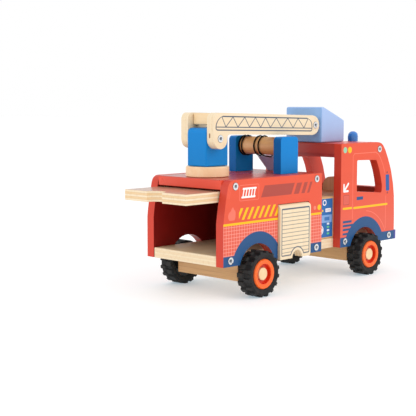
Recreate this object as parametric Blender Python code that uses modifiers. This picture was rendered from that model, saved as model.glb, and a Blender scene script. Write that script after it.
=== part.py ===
"""Toy fire engine in painted plywood: crane with basket, hose drum, tail hatch,
side shutters and four rubber-tyred wheels.

Frame: +X forward (towards the cab), +Y the vehicle's left, +Z up. The origin is on
the floor under the centre of the bounding box. The helpers take millimetres: x from
the rear end of the body, y from the centre line, z from the ground.
"""
import math

import bmesh
import bpy
from mathutils import Matrix, Vector

# ---------------------------------------------------------------- dimensions, mm
GAP = 0.3                    # clearance left between two pieces that touch
BODY_W = 130.0               # over the outside of the side panels
SIDE_T = 11.6                # side panels, shutters and boom arms
BOARD_T = 12.6               # floor and hatch
BODY_Z = 41.2                # underside of the side panels above the ground
OUT_Y = BODY_W / 2           # outer face of a side panel
IN_Y = OUT_Y - SIDE_T        # inner face of a side panel
INNER = IN_Y - GAP           # half width of the boards between them

FLOOR_Z0 = BODY_Z - GAP
FLOOR_Z1 = FLOOR_Z0 + BOARD_T
REAR_L, REAR_TOP = 184.5, BODY_Z + 101.2
ROOF_Z0 = REAR_TOP - 12.0
CAB_X0, CAB_X1, CAB_TOP = 225.0, 350.5, BODY_Z + 137.3
CAB_ROOF_Z0 = CAB_TOP - 14.0
BUMPER_X1 = 356.4
DECK_TOP = BODY_Z + 67.6

WHEEL_R, WHEEL_W = 28.0, 21.0
WHEEL_Y = 77.0 - WHEEL_W / 2           # middle plane of a wheel
AXLE_X = {"rear": 60.0, "front": 279.0}
ARCH_Z, ARCH_R = BODY_Z - 10.0, 33.0
AXLE_R, AXLE_END_R = 4.5, 7.7
BLOCK_W, BLOCK_L, BLOCK_H = 102.0, 40.0, 22.0
LUGS, LUG_H = 16, 2.3

HATCH_X, HATCH_Z, HATCH_REAR_X = 16.0, BODY_Z + 81.4, -47.7
DOOR_X0, DOOR_X1 = 98.0, 157.5
DOOR_TOP, DOOR_BOTTOM = BODY_Z + 66.4, BODY_Z - 1.6
DOOR_Y = OUT_Y + 3.6 - SIDE_T / 2      # middle of the shutter's thickness
DOOR_PIN_Z = DOOR_TOP - SIDE_T / 2

TURN_X, TURN_R, TURN_H = 40.5, 26.6, 12.4
CRANE_X, CRANE_L, CRANE_W, CRANE_TOP = 41.0, 38.4, 31.8, BODY_Z + 160.5
BOOM_X0, BOOM_X1, BOOM_IN_Y = 23.1, 225.0, 16.2
BOOM_PIN_X, BOOM_PIN_Z = 34.3, BODY_Z + 147.8
TILT_PIN_X, TILT_PIN_Z = 217.2, BODY_Z + 161.2
BASKET_X0, BASKET_X1, BASKET_HALF, BASKET_T = 226.4, 277.4, 30.9, 6.0
BASKET_Z0, BASKET_Z1, BASKET_FRONT_Z = BODY_Z + 137.6, BODY_Z + 185.0, BODY_Z + 167.4

POST_X0, POST_X1, POST_Y0, POST_Y1, POST_TOP = 126.8, 160.6, 32.3, 44.3, BODY_Z + 148.0
DRUM_X, DRUM_Z, DRUM_R, DRUM_END_R = 143.8, BODY_Z + 135.5, 11.5, 4.0
CORD_R = 0.95
TURN_Y = (30.8, 26.4, 5.0, -2.2)       # where the turns of hose lie on the drum
NOZZLE_X, NOZZLE_Y = 177.5, 12.0

BOLT_HEAD_R, BOLT_R, BOLT_SINK, BOLT_PROUD = 4.5, 2.0, 1.4, 0.9
TIE_BOLTS = {"rear_low_tie_bolt": (12.7, 6.9), "rear_high_tie_bolt": (20.5, 93.7),
             "middle_high_tie_bolt": (173.9, 94.3), "middle_low_tie_bolt": (174.1, 6.2),
             "cab_rear_tie_bolt": (235.7, 7.4), "cab_front_tie_bolt": (338.2, 6.5),
             "cab_roof_tie_bolt": (312.2, 127.6)}
SIDES = {"left": 1, "right": -1}
MID_X = (HATCH_REAR_X + BUMPER_X1) / 2     # centre of the bounding box

# ---------------------------------------------------------------- scene set-up
for old in list(bpy.data.objects):
    bpy.data.objects.remove(old, do_unlink=True)
PARTS = bpy.data.collections.new("toy_fire_engine")
CUTTERS = bpy.data.collections.new("cutters")
for group in (PARTS, CUTTERS):
    bpy.context.scene.collection.children.link(group)


def material(name, colour, metallic=0.0, roughness=0.5):
    mat = bpy.data.materials.new(name)
    mat.use_nodes = True
    bsdf = mat.node_tree.nodes["Principled BSDF"]
    bsdf.inputs["Base Color"].default_value = (*colour, 1.0)
    bsdf.inputs["Metallic"].default_value = metallic
    bsdf.inputs["Roughness"].default_value = roughness
    return mat


RED = material("red_paint", (0.85, 0.16, 0.09), roughness=0.35)
PLY = material("natural_ply", (0.86, 0.71, 0.47))
HARDWOOD = material("hardwood", (0.50, 0.30, 0.13))
BLUE = material("blue_paint", (0.03, 0.25, 0.66), roughness=0.35)
NAVY = material("bumper_blue", (0.04, 0.13, 0.33), roughness=0.4)
BASKET_BLUE = material("basket_blue", (0.42, 0.53, 0.82), roughness=0.4)
STEEL = material("bolt_steel", (0.75, 0.76, 0.78), metallic=1.0, roughness=0.3)
RUBBER = material("tyre_rubber", (0.03, 0.03, 0.03), roughness=0.8)
ORANGE = material("rim_orange", (0.95, 0.22, 0.03), roughness=0.35)
BLACK = material("hose_black", (0.02, 0.02, 0.02), roughness=0.7)
GREY = material("nozzle_grey", (0.20, 0.20, 0.32), roughness=0.4)

# local +Z of a turned piece or local +Z of a flat outline laid along the named axis
ALONG = {"x": Matrix(((0, 0, 1), (1, 0, 0), (0, 1, 0))),      # local x, y -> y, z
         "y": Matrix(((1, 0, 0), (0, 0, -1), (0, 1, 0))),     # local x, y -> x, z
         "z": Matrix.Identity(3)}


# ---------------------------------------------------------------- helpers
def at(x, y, z):
    """Body millimetres to metres in the part's frame."""
    return Vector((x - MID_X, y, z)) / 1000.0


def add(name, data, mat, axis="z", location=(0, 0, 0)):
    """Links an object to the parts, or to the cutters when it has no material."""
    obj = bpy.data.objects.new(name, data)
    obj.matrix_world = Matrix.Translation(location) @ ALONG[axis].to_4x4()
    if mat is None:
        CUTTERS.objects.link(obj)
        obj.hide_render = True
        obj.display_type = "WIRE"
    else:
        data.materials.append(mat)
        PARTS.objects.link(obj)
    return obj


def smooth(obj, angle=35):
    if isinstance(obj.data, bpy.types.Mesh):
        obj.data.shade_smooth()
        obj.data.set_sharp_from_angle(angle=math.radians(angle))
    return obj


def rounded_edges(obj, width, angle=40, segments=1):
    """Softens the sharp edges; the width is in mm."""
    mod = obj.modifiers.new("rounded edges", "BEVEL")
    mod.width = width / 1000.0
    mod.segments = segments
    mod.limit_method = "ANGLE"
    mod.angle_limit = math.radians(angle)
    return obj


def cut(obj, *tools):
    """Takes closed cutters away from a piece."""
    for tool in tools:
        mod = obj.modifiers.new("cut", "BOOLEAN")
        mod.operation = "DIFFERENCE"
        mod.solver = "EXACT"
        mod.object = tool
    return obj


def box(name, x, y, z, mat, edge=0.6):
    """A cuboid from its three (low, high) ranges."""
    mesh = bpy.data.meshes.new(name)
    bm = bmesh.new()
    bmesh.ops.create_cube(bm, size=1.0)
    size = Vector((x[1] - x[0], y[1] - y[0], z[1] - z[0])) / 1000.0
    bmesh.ops.scale(bm, vec=size, verts=bm.verts)
    bm.to_mesh(mesh)
    bm.free()
    obj = add(name, mesh, mat, "z", at(sum(x) / 2, sum(y) / 2, sum(z) / 2))
    return rounded_edges(obj, edge) if edge else obj


def rod(name, radius, low, high, axis, centre, mat, segments=18):
    """A round bar from low to high along an axis; centre holds the other two."""
    mesh = bpy.data.meshes.new(name)
    bm = bmesh.new()
    bmesh.ops.create_cone(bm, cap_ends=True, segments=segments, radius1=radius / 1000.0,
                          radius2=radius / 1000.0, depth=(high - low) / 1000.0)
    bm.to_mesh(mesh)
    bm.free()
    mid = (low + high) / 2
    where = {"x": (mid, *centre), "y": (centre[0], mid, centre[1]), "z": (*centre, mid)}[axis]
    return smooth(add(name, mesh, mat, axis, at(*where)))


def plate(name, outline, low, high, axis, mat, edge=0.0):
    """A flat outline with thickness. Along y the outline is (x, z), along x it is
    (y, z) and along z it is (x, y)."""
    curve = bpy.data.curves.new(name, "CURVE")
    curve.dimensions = "2D"
    curve.fill_mode = "BOTH"
    curve.extrude = (high - low) / 2000.0
    spline = curve.splines.new("POLY")
    spline.points.add(len(outline) - 1)
    for point, (a, b) in zip(spline.points, outline):
        point.co = (a / 1000.0, b / 1000.0, 0.0, 1.0)
    spline.use_cyclic_u = True
    guide = bpy.data.objects.new(name, curve)
    PARTS.objects.link(guide)
    mesh = bpy.data.meshes.new_from_object(
        guide.evaluated_get(bpy.context.evaluated_depsgraph_get()))
    bpy.data.objects.remove(guide, do_unlink=True)
    bm = bmesh.new()
    bm.from_mesh(mesh)
    bmesh.ops.remove_doubles(bm, verts=bm.verts, dist=1e-7)
    bmesh.ops.dissolve_limit(bm, angle_limit=math.radians(0.1), verts=bm.verts, edges=bm.edges)
    bm.to_mesh(mesh)
    bm.free()
    mid = (low + high) / 2
    where = {"x": at(mid, 0, 0), "y": at(0, mid, 0), "z": at(0, 0, mid)}[axis]
    obj = add(name, mesh, mat, axis, where)
    mesh.name = name
    return rounded_edges(obj, edge) if edge else obj


def turned(name, profile, steps, axis, centre, mat, closed=False):
    """A piece turned from (radius, height) points that run from the top down the
    outside; heights are along the axis and centre is a point on it."""
    mesh = bpy.data.meshes.new(name)
    count = len(profile)
    edges = [(i, i + 1) for i in range(count - 1)] + ([(count - 1, 0)] if closed else [])
    mesh.from_pydata([(r / 1000.0, 0.0, h / 1000.0) for r, h in profile], edges, [])
    obj = add(name, mesh, mat, axis, at(*centre))
    mod = obj.modifiers.new("turned", "SCREW")
    mod.axis = "Z"
    mod.steps = mod.render_steps = steps
    mod.use_merge_vertices = True
    mod.merge_threshold = 0.00001
    mod.use_smooth_shade = False
    return obj


def cord(name, points, radius, mat):
    """A round cord along body points."""
    curve = bpy.data.curves.new(name, "CURVE")
    curve.dimensions = "3D"
    curve.bevel_depth = radius / 1000.0
    curve.bevel_resolution = 2
    curve.use_fill_caps = True
    spline = curve.splines.new("POLY")
    spline.points.add(len(points) - 1)
    for point, p in zip(spline.points, points):
        point.co = (*at(*p), 1.0)
    return add(name, curve, mat)


def arc(cx, cy, r, a0, a1, steps):
    """Points on a circle from a0 to a1 degrees."""
    return [(cx + r * math.cos(math.radians(a0 + (a1 - a0) * k / steps)),
             cy + r * math.sin(math.radians(a0 + (a1 - a0) * k / steps)))
            for k in range(steps + 1)]


def rect(x0, x1, y0, y1):
    return [(x0, y0), (x1, y0), (x1, y1), (x0, y1)]


def round_off(points, radii, steps=4):
    """A polygon with each corner rounded by its own radius."""
    out = []
    for i, corner in enumerate(points):
        r = radii[i] if isinstance(radii, (list, tuple)) else radii
        if r <= 0:
            out.append(corner)
            continue
        here = Vector(corner)
        back = (Vector(points[i - 1]) - here).normalized()
        ahead = (Vector(points[(i + 1) % len(points)]) - here).normalized()
        half = back.angle(ahead) / 2
        centre = here + (back + ahead).normalized() * (r / math.sin(half))
        start = here + back * (r / math.tan(half)) - centre
        end = here + ahead * (r / math.tan(half)) - centre
        a0 = math.atan2(start.y, start.x)
        sweep = (math.atan2(end.y, end.x) - a0 + math.pi) % (2 * math.pi) - math.pi
        out += arc(centre.x, centre.y, r, math.degrees(a0), math.degrees(a0 + sweep), steps)
    return out


def span(y0, y1, side):
    """A y range on the chosen side."""
    return (y0, y1) if side > 0 else (-y1, -y0)


def joint(name, location, *pieces):
    """An empty on a joint's axis that carries its pieces."""
    empty = bpy.data.objects.new(name, None)
    empty.empty_display_size = 0.01
    empty.location = location
    PARTS.objects.link(empty)
    carry(empty, *pieces)
    return empty


def carry(empty, *pieces):
    bpy.context.view_layer.update()
    for piece in pieces:
        piece.parent = empty
        piece.matrix_parent_inverse = empty.matrix_world.inverted()


def through_bolt(name, x, z, half, mat=STEEL):
    """A bolt across the toy with a socket head sunk in each face at y = +-half."""
    top, seat, socket = half + BOLT_PROUD, half - BOLT_SINK, half - 0.5
    right = [(0, socket), (2.1, socket), (2.1, top), (BOLT_HEAD_R, top - 0.5),
             (BOLT_HEAD_R, seat), (BOLT_R, seat)]
    profile = right + [(r, -h) for r, h in reversed(right)]
    return turned(name, profile, 10, "y", (x, 0, z), mat)


def bolt_hole(name, x, z, half):
    """The bore of such a bolt with a counterbore in each face."""
    seat, top = half - BOLT_SINK - 0.2, half + 2
    right = [(0, top), (BOLT_HEAD_R + 0.3, top), (BOLT_HEAD_R + 0.3, seat), (BOLT_R + 0.2, seat)]
    profile = right + [(r, -h) for r, h in reversed(right)]
    return turned(name, profile, 12, "y", (x, 0, z), None)


# ---------------------------------------------------------------- side panels
def arch(x):
    """The wheel arch as a run of a panel's lower edge, front to rear."""
    reach = math.degrees(math.asin((BODY_Z - ARCH_Z) / ARCH_R))
    return arc(x, ARCH_Z, ARCH_R, reach, 180 - reach, 16)


rear_outline = ([(0, BODY_Z), (0, BODY_Z + 50), (1.3, BODY_Z + 60), (3.5, BODY_Z + 73),
                 (6.0, BODY_Z + 85)]
                + arc(18.0, REAR_TOP - 10.5, 10.5, 170, 90, 6)
                + [(REAR_L - 1, REAR_TOP), (REAR_L, REAR_TOP - 1), (REAR_L, BODY_Z),
                   (DOOR_X1 + 0.6, BODY_Z)]
                + arc(DOOR_X1 - 1.0, DOOR_TOP - 1.0, 1.6, 0, 90, 4)
                + [(DOOR_X0 - 0.6, DOOR_TOP + 0.6), (DOOR_X0 - 0.6, BODY_Z)]
                + arch(AXLE_X["rear"]))
nose = [(306, CAB_TOP), (312, CAB_TOP - 0.6), (317, CAB_TOP - 2.2), (321, CAB_TOP - 5),
        (326.3, BODY_Z + 125.7)]
cab_outline = ([(CAB_X0, BODY_Z), (CAB_X0, CAB_TOP - 1), (CAB_X0 + 1, CAB_TOP)] + nose
               + [(332.8, BODY_Z + 114.4), (337.4, BODY_Z + 105), (340.9, BODY_Z + 97),
                  (346.3, BODY_Z + 79), (349.2, BODY_Z + 62), (350.3, BODY_Z + 38),
                  (CAB_X1, BODY_Z + 25), (CAB_X1, BODY_Z)]
               + arch(AXLE_X["front"]))
window = round_off([(260.6, BODY_Z + 72.2), (291, BODY_Z + 69.6), (318.6, BODY_Z + 67.2),
                    (319.2, BODY_Z + 77.5), (316.4, BODY_Z + 88), (312.3, BODY_Z + 99.5),
                    (305.2, BODY_Z + 113.2), (260.6, BODY_Z + 114.2)],
                   [1.8, 0, 3.0, 0, 0, 0, 5.0, 1.8], 3)

holes, bolts = {}, {}
for name, (x, z) in TIE_BOLTS.items():
    bolts[name] = through_bolt(name, x, BODY_Z + z, OUT_Y)
    holes[name] = bolt_hole(name + "_hole", x, BODY_Z + z, OUT_Y)
rear_holes = [hole for name, hole in holes.items() if not name.startswith("cab")]
cab_holes = [hole for name, hole in holes.items() if name.startswith("cab")]
hatch_bore = rod("hatch_bore", 2.6, -IN_Y - 6.3, IN_Y + 6.3, "y", (HATCH_X, HATCH_Z), None, 18)
window_cut = plate("window_cut", window, -OUT_Y - 5, OUT_Y + 5, "y", None)

panels = {}
for name, side in SIDES.items():
    low, high = span(IN_Y, OUT_Y, side)
    rear = panels[name] = plate(f"{name}_rear_side_panel", rear_outline, low, high, "y", RED)
    cut(rear, *rear_holes, hatch_bore,
        rod(f"{name}_shutter_bore", 1.6, DOOR_X0 - 4, DOOR_X1 + 4, "x",
            (side * DOOR_Y, DOOR_PIN_Z), None, 16))
    cab = plate(f"{name}_cab_panel", cab_outline, low, high, "y", RED)
    cut(cab, *cab_holes, window_cut)

# ---------------------------------------------------------------- boards of the body
floor = box("floor_board", (0.4, CAB_X1 - 0.4), (-INNER, INNER), (FLOOR_Z0, FLOOR_Z1), PLY)
cut(floor, *[holes[n] for n in holes if "low" in n or n in ("cab_rear_tie_bolt", "cab_front_tie_bolt")])
rear_roof = box("rear_roof", (8.0, REAR_L - 0.5), (-INNER, INNER), (ROOF_Z0, REAR_TOP), RED, 0.8)
cut(rear_roof, *[holes[n] for n in holes if "high" in n],
    rod("spigot_bore", 4.2, REAR_TOP - 8.3, REAR_TOP + 3, "z", (TURN_X, 0), None, 18))
box("hold_bulkhead", (171.5, 183.5), (-INNER, INNER), (FLOOR_Z1 + GAP, ROOF_Z0 - GAP), RED)

cab_roof_outline = ([(CAB_X0 + 5, CAB_ROOF_Z0 - 4.6), (CAB_X0 + 5, CAB_ROOF_Z0 + 0.4),
                     (CAB_X0 + 0.6, CAB_ROOF_Z0 + 0.4), (CAB_X0 + 0.6, CAB_TOP - 0.6),
                     (CAB_X0 + 1.2, CAB_TOP)]
                    + [(x - 1.5, z) for x, z in nose]
                    + [(325.0, CAB_ROOF_Z0), (CAB_X0 + 15, CAB_ROOF_Z0),
                       (CAB_X0 + 15, CAB_ROOF_Z0 - 4.6)])
cut(plate("cab_roof", cab_roof_outline, -INNER, INNER, "y", RED), holes["cab_roof_tie_bolt"])
box("cab_front_panel", (337.8, 349.4), (-INNER, INNER), (FLOOR_Z1 + GAP, BODY_Z + 72.8), RED, 0.8)
plate("front_bumper", round_off(rect(CAB_X1 + GAP, BUMPER_X1, -OUT_Y, OUT_Y), [0, 2.2, 2.2, 0], 3),
      BODY_Z, BODY_Z + 12.4, "z", NAVY)
box("pump_block", (189.0, CAB_X0 + 1.4), (-INNER, INNER), (FLOOR_Z1 + GAP, DECK_TOP), PLY, 0.8)
box("crew_deck", (CAB_X0 + 1.7, 295.6), (-INNER, INNER), (DECK_TOP - 11.6, DECK_TOP), HARDWOOD)
seat = box("driver_seat", (296.0, 329.0), (-19.4, 19.4), (FLOOR_Z1 + GAP, BODY_Z + 87.0), HARDWOOD, 0)
seat_scoop = box("seat_scoop", (304.0, 340.0), (-30, 30), (BODY_Z + 42.0, BODY_Z + 99.0), None, 0)
corner_cuts = []
for name, side in SIDES.items():
    y0, top = side * 6.4, BODY_Z + 87.0
    outline = ([(y0, top + 3)] + [(y0 + side * 13.0 * math.sin(math.radians(a)),
                                   top - 13.0 + 13.0 * math.cos(math.radians(a)))
                                  for a in range(0, 91, 15)]
               + [(y0 + side * 16, top - 13.0), (y0 + side * 16, top + 3)])
    corner_cuts.append(plate(f"seat_{name}_corner", outline, 290, 312, "x", None))
cut(seat, seat_scoop, *corner_cuts)
for name, side in SIDES.items():
    turned(f"{name}_roof_light",
           [(0, 14.0), (2.6, 13.7), (4.9, 12.4), (6.5, 10.2), (7.2, 7.2), (7.1, 0), (0, 0)],
           16, "z", (301.5, side * 27.6, CAB_TOP + GAP), BLUE)

# ---------------------------------------------------------------- tail hatch
half_t = BOARD_T / 2
hatch_side = ([(HATCH_REAR_X, HATCH_Z - half_t)]
              + arc(HATCH_X, HATCH_Z, half_t, -90, 90, 10)
              + [(HATCH_REAR_X, HATCH_Z + half_t)])
hatch = plate("rear_hatch", hatch_side, -51.9, 51.9, "y", PLY)
cut(hatch, hatch_bore,
    rod("hatch_notch", 13.0, HATCH_Z - 10, HATCH_Z + 10, "z", (HATCH_REAR_X, 0), None, 28))
hatch_pin = rod("hatch_pin", 2.5, -IN_Y - 6, IN_Y + 6, "y", (HATCH_X, HATCH_Z), PLY, 18)
joint("hatch_axis", at(HATCH_X, 0, HATCH_Z), hatch, hatch_pin)

# ---------------------------------------------------------------- side shutters
for name, side in SIDES.items():
    y_mid, half_t = side * DOOR_Y, SIDE_T / 2
    section = ([(y_mid - half_t, DOOR_BOTTOM), (y_mid + half_t, DOOR_BOTTOM)]
               + arc(y_mid, DOOR_PIN_Z, half_t, 0, 180, 10))
    door = plate(f"{name}_shutter", section, DOOR_X0, DOOR_X1, "x", PLY)
    lower = ([(DOOR_X1 - 3.5, DOOR_BOTTOM - 3), (DOOR_X1 + 3, DOOR_BOTTOM - 3),
              (DOOR_X1 + 3, DOOR_BOTTOM + 3.5)]
             + arc(DOOR_X1 - 3.5, DOOR_BOTTOM + 3.5, 3.5, 0, -90, 5))
    upper = ([(DOOR_X1 + 3, DOOR_TOP - 4.0), (DOOR_X1 + 3, DOOR_TOP + 3), (DOOR_X1 - 4.0, DOOR_TOP + 3)]
             + arc(DOOR_X1 - 4.0, DOOR_TOP - 4.0, 4.0, 90, 0, 5))
    cut(door,
        rod(f"{name}_finger_notch", 9.6, y_mid - 12, y_mid + 12, "y", (131.0, DOOR_BOTTOM), None, 24),
        plate(f"{name}_shutter_lower_corner", lower, y_mid - 12, y_mid + 12, "y", None),
        plate(f"{name}_shutter_upper_corner", upper, y_mid - 12, y_mid + 12, "y", None),
        rod(f"{name}_shutter_hole", 1.5, DOOR_X0 - 6, DOOR_X1 + 6, "x", (y_mid, DOOR_PIN_Z), None, 16))
    door_pin = rod(f"{name}_shutter_pin", 1.4, DOOR_X0 - 3.6, DOOR_X1 + 3.6, "x",
                   (y_mid, DOOR_PIN_Z), STEEL, 16)
    joint(f"{name}_shutter_axis", at(127.75, y_mid, DOOR_PIN_Z), door, door_pin)


# ---------------------------------------------------------------- axles and wheels
def tyre(name, x, side):
    """A tyre with two rows of staggered lugs, lofted round the wheel from two unlike
    sections. A lug of the inner row lies flat on the ground."""
    half = WHEEL_W / 2
    tread = WHEEL_R / math.cos(math.radians(90 / LUGS))
    base = tread - LUG_H
    section = [(18.6, 2.0 - half, None), (base - 1.8, -half, None), (1, 1.0 - half, "in"),
               (1, -1.2, "in"), (1, 1.2, "out"), (1, half - 1.0, "out"),
               (base - 1.8, half, None), (18.6, half - 2.0, None)]
    stations = [(-90 + (k - 0.25 + f) * 360 / LUGS, row) for k in range(LUGS)
                for f, row in ((0, "in"), (0.5, "in"), (0.58, "out"), (0.92, "out"))]
    mesh = bpy.data.meshes.new(name)
    bm = bmesh.new()
    rings = []
    for degrees, raised in stations:
        a = math.radians(degrees)
        ring = []
        for r, y, row in section:
            radius = r if row is None else (tread if row == raised else base)
            ring.append(bm.verts.new(Vector((radius * math.cos(a), side * y,
                                             radius * math.sin(a))) / 1000.0))
        rings.append(ring)
    for one, two in zip(rings, rings[1:] + rings[:1]):
        for j in range(len(section)):
            k = (j + 1) % len(section)
            bm.faces.new((one[j], one[k], two[k], two[j]))
    bmesh.ops.recalc_face_normals(bm, faces=bm.faces)
    bm.to_mesh(mesh)
    bm.free()
    return add(name, mesh, RUBBER, "z", at(x, side * WHEEL_Y, WHEEL_R))


RIM = [(13.4, 10.0), (17.4, 10.0), (18.3, 8.6), (18.3, -7.4), (8.6, -7.4), (8.6, -8.6),
       (AXLE_R + 0.2, -8.6), (AXLE_R + 0.2, 3.4), (8.2, 3.4), (8.2, 4.6), (11.8, 5.2), (12.2, 9.2)]

for end, x in AXLE_X.items():
    top = FLOOR_Z0 - GAP
    block = box(f"{end}_axle_block", (x - BLOCK_L / 2, x + BLOCK_L / 2),
                (-BLOCK_W / 2, BLOCK_W / 2), (top - BLOCK_H, top), HARDWOOD, 0)
    cut(block, rod(f"{end}_axle_bore", AXLE_R + 0.1, -BLOCK_W, BLOCK_W, "y", (x, WHEEL_R), None, 18))
    tip, step = WHEEL_Y + 7.8, WHEEL_Y + 3.7
    half = [(0, tip), (AXLE_END_R - 0.6, tip), (AXLE_END_R, tip - 0.6), (AXLE_END_R, step),
            (AXLE_R, step)]
    axle = turned(f"{end}_axle", half + [(r, -h) for r, h in reversed(half)], 18, "y",
                  (x, 0, WHEEL_R), PLY)
    wheels = [axle]
    for name, side in SIDES.items():
        wheels.append(tyre(f"{end}_{name}_tyre", x, side))
        profile = RIM if side < 0 else [(r, -h) for r, h in reversed(RIM)]
        wheels.append(turned(f"{end}_{name}_rim", profile, 20, "y",
                             (x, side * WHEEL_Y, WHEEL_R), ORANGE, closed=True))
    joint(f"{end}_axle_axis", at(x, 0, WHEEL_R), *wheels)

# ---------------------------------------------------------------- crane
disc_z0 = REAR_TOP + GAP
disc_z1 = disc_z0 + TURN_H
disc = turned("turntable_disc",
              [(0, TURN_H), (TURN_R - 0.8, TURN_H), (TURN_R, TURN_H - 0.8), (TURN_R, 0.8),
               (TURN_R - 0.8, 0), (4.0, 0), (4.0, -7.8), (0, -7.8)],
              32, "z", (TURN_X, 0, disc_z0), PLY)
crane_outline = round_off(rect(CRANE_X - CRANE_L / 2, CRANE_X + CRANE_L / 2, disc_z1 + GAP, CRANE_TOP),
                          [0, 0, 6.5, 6.5], 6)
crane = plate("crane_block", crane_outline, -CRANE_W / 2, CRANE_W / 2, "y", BLUE)
rounded_edges(crane, 1.3, 40, 2)
cut(crane, rod("crane_bore", BOLT_R + 0.1, -CRANE_W, CRANE_W, "y", (BOOM_PIN_X, BOOM_PIN_Z), None, 14))


def boom_top(x):
    return BODY_Z + 178.5 - (x - 36.8) * 0.0249


def boom_bottom(x):
    return BODY_Z + 152.5 - (x - 54.5) * 0.0270


nose_r = 12.3
nose_x = BOOM_X1 - nose_r
nose_z = (boom_top(nose_x) + boom_bottom(nose_x)) / 2
boom_outline = (arc(BOOM_X0 + 8, boom_top(BOOM_X0) - 8, 8, 180, 92, 6)
                + [(nose_x - 2, boom_top(nose_x - 2))]
                + arc(nose_x, nose_z, nose_r, 80, -80, 12)
                + [(nose_x - 2, boom_bottom(nose_x - 2))]
                + arc(50.9, boom_bottom(50.9) - 4.6, 4.6, 90, 170, 5)
                + arc(BOOM_X0 + 11.6, BOOM_PIN_Z - 0.8, 11.6, -5, -180, 12))
arm_face = BOOM_IN_Y + SIDE_T
boom_hole = bolt_hole("boom_hole", BOOM_PIN_X, BOOM_PIN_Z, arm_face)
tilt_hole = bolt_hole("tilt_hole", TILT_PIN_X, TILT_PIN_Z, arm_face)
arms = []
for name, side in SIDES.items():
    low, high = span(BOOM_IN_Y, arm_face, side)
    arms.append(cut(plate(f"{name}_boom_arm", boom_outline, low, high, "y", PLY), boom_hole, tilt_hole))
cross_bar = box("boom_cross_bar", (BOOM_X0 + 8.6, BOOM_X0 + 20.6), (GAP - BOOM_IN_Y, BOOM_IN_Y - GAP),
                (BODY_Z + 164.0, BODY_Z + 178.0), PLY, 1.2)
boom_bolt = through_bolt("boom_pivot_bolt", BOOM_PIN_X, BOOM_PIN_Z, arm_face)
tilt_bolt = through_bolt("basket_pivot_bolt", TILT_PIN_X, TILT_PIN_Z, arm_face)

# ---------------------------------------------------------------- basket
side_outline = round_off([(BASKET_X0, BASKET_Z0), (BASKET_X1, BASKET_Z0),
                          (BASKET_X1, BASKET_FRONT_Z), (232.5, BASKET_Z1), (BASKET_X0, BASKET_Z1)],
                         [1.5, 1.5, 3.0, 3.0, 1.5], 3)
basket = []
for name, side in SIDES.items():
    low, high = span(BASKET_HALF - BASKET_T, BASKET_HALF, side)
    basket.append(plate(f"basket_{name}_side", side_outline, low, high, "y", BASKET_BLUE))
wall = BASKET_HALF - BASKET_T - GAP
inside = (BASKET_X0 + BASKET_T + GAP, BASKET_X1 - BASKET_T - GAP)
basket += [
    box("basket_floor", inside, (-wall, wall), (BASKET_Z0, BASKET_Z0 + BASKET_T), BASKET_BLUE, 0.4),
    box("basket_rear_wall", (BASKET_X0, BASKET_X0 + BASKET_T), (-wall, wall),
        (BASKET_Z0, BASKET_Z1), BASKET_BLUE, 0.8),
    box("basket_front_wall", (BASKET_X1 - BASKET_T, BASKET_X1), (-wall, wall),
        (BASKET_Z0, BASKET_FRONT_Z - 1.0), BASKET_BLUE, 0.8)]
tongue = plate("basket_tongue",
               round_off(rect(209.6, BASKET_X0 - GAP, TILT_PIN_Z - 8.4, TILT_PIN_Z + 8.4), [7.4, 0, 0, 7.4], 5),
               0.5 - BOOM_IN_Y, BOOM_IN_Y - 0.5, "y", PLY)
cut(tongue, rod("tongue_bore", BOLT_R + 0.1, -30, 30, "y", (TILT_PIN_X, TILT_PIN_Z), None, 14))
basket.append(tongue)

turn_axis = joint("turntable_axis", at(TURN_X, 0, disc_z0), disc, crane, boom_bolt)
boom_axis = joint("boom_axis", at(BOOM_PIN_X, 0, BOOM_PIN_Z), *arms, cross_bar, tilt_bolt)
tilt_axis = joint("basket_axis", at(TILT_PIN_X, 0, TILT_PIN_Z), *basket)
carry(turn_axis, boom_axis)
carry(boom_axis, tilt_axis)

# ---------------------------------------------------------------- hose drum
drum_bore = rod("drum_bore", DRUM_END_R + 0.1, -POST_Y0 - 6.2, POST_Y0 + 6.2, "y",
                (DRUM_X, DRUM_Z), None, 20)
post_outline = round_off(rect(POST_X0, POST_X1, REAR_TOP + GAP, POST_TOP), [0, 0, 5.5, 5.5], 5)
for name, side in SIDES.items():
    low, high = span(POST_Y0, POST_Y1, side)
    cut(plate(f"{name}_hose_post", post_outline, low, high, "y", BLUE), drum_bore)
stub, half = POST_Y0 + 5.8, POST_Y0 - 0.5
end = [(0, stub), (DRUM_END_R, stub), (DRUM_END_R, half), (DRUM_R - 0.5, half), (DRUM_R, half - 0.5)]
drum = turned("hose_drum", end + [(r, -h) for r, h in reversed(end)], 24, "y",
              (DRUM_X, 0, DRUM_Z), HARDWOOD)

# each turn is square to the drum on its rear half and crosses over on its front half
wind_r = DRUM_R + 0.3 + CORD_R
winding = []
for k, y in enumerate(TURN_Y):
    run = [(90 + 180 * i / 8, y) for i in range(9)]
    if k + 1 < len(TURN_Y):
        run += [(270 + 180 * i / 8, y + (TURN_Y[k + 1] - y) * (0.5 - 0.5 * math.cos(math.pi * i / 8)))
                for i in range(1, 8)]
    winding += [(DRUM_X + wind_r * math.cos(math.radians(a)), yy,
                 DRUM_Z + wind_r * math.sin(math.radians(a))) for a, yy in run]
wound = cord("hose_winding", winding, CORD_R, BLACK)
joint("drum_axis", at(DRUM_X, 0, DRUM_Z), drum, wound)


def eased(points, per=3):
    """A smooth run (Catmull-Rom) through the points."""
    pts = [Vector(p) for p in points]
    pts = [2 * pts[0] - pts[1]] + pts + [2 * pts[-1] - pts[-2]]
    out = []
    for a, b, c, d in zip(pts, pts[1:], pts[2:], pts[3:]):
        for k in range(per):
            u = k / per
            out.append(0.5 * (2 * b + (c - a) * u + (2 * a - 5 * b + 4 * c - d) * u * u
                              + (3 * b - 3 * c + d - a) * u ** 3))
    return out + [pts[-2]]


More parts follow.
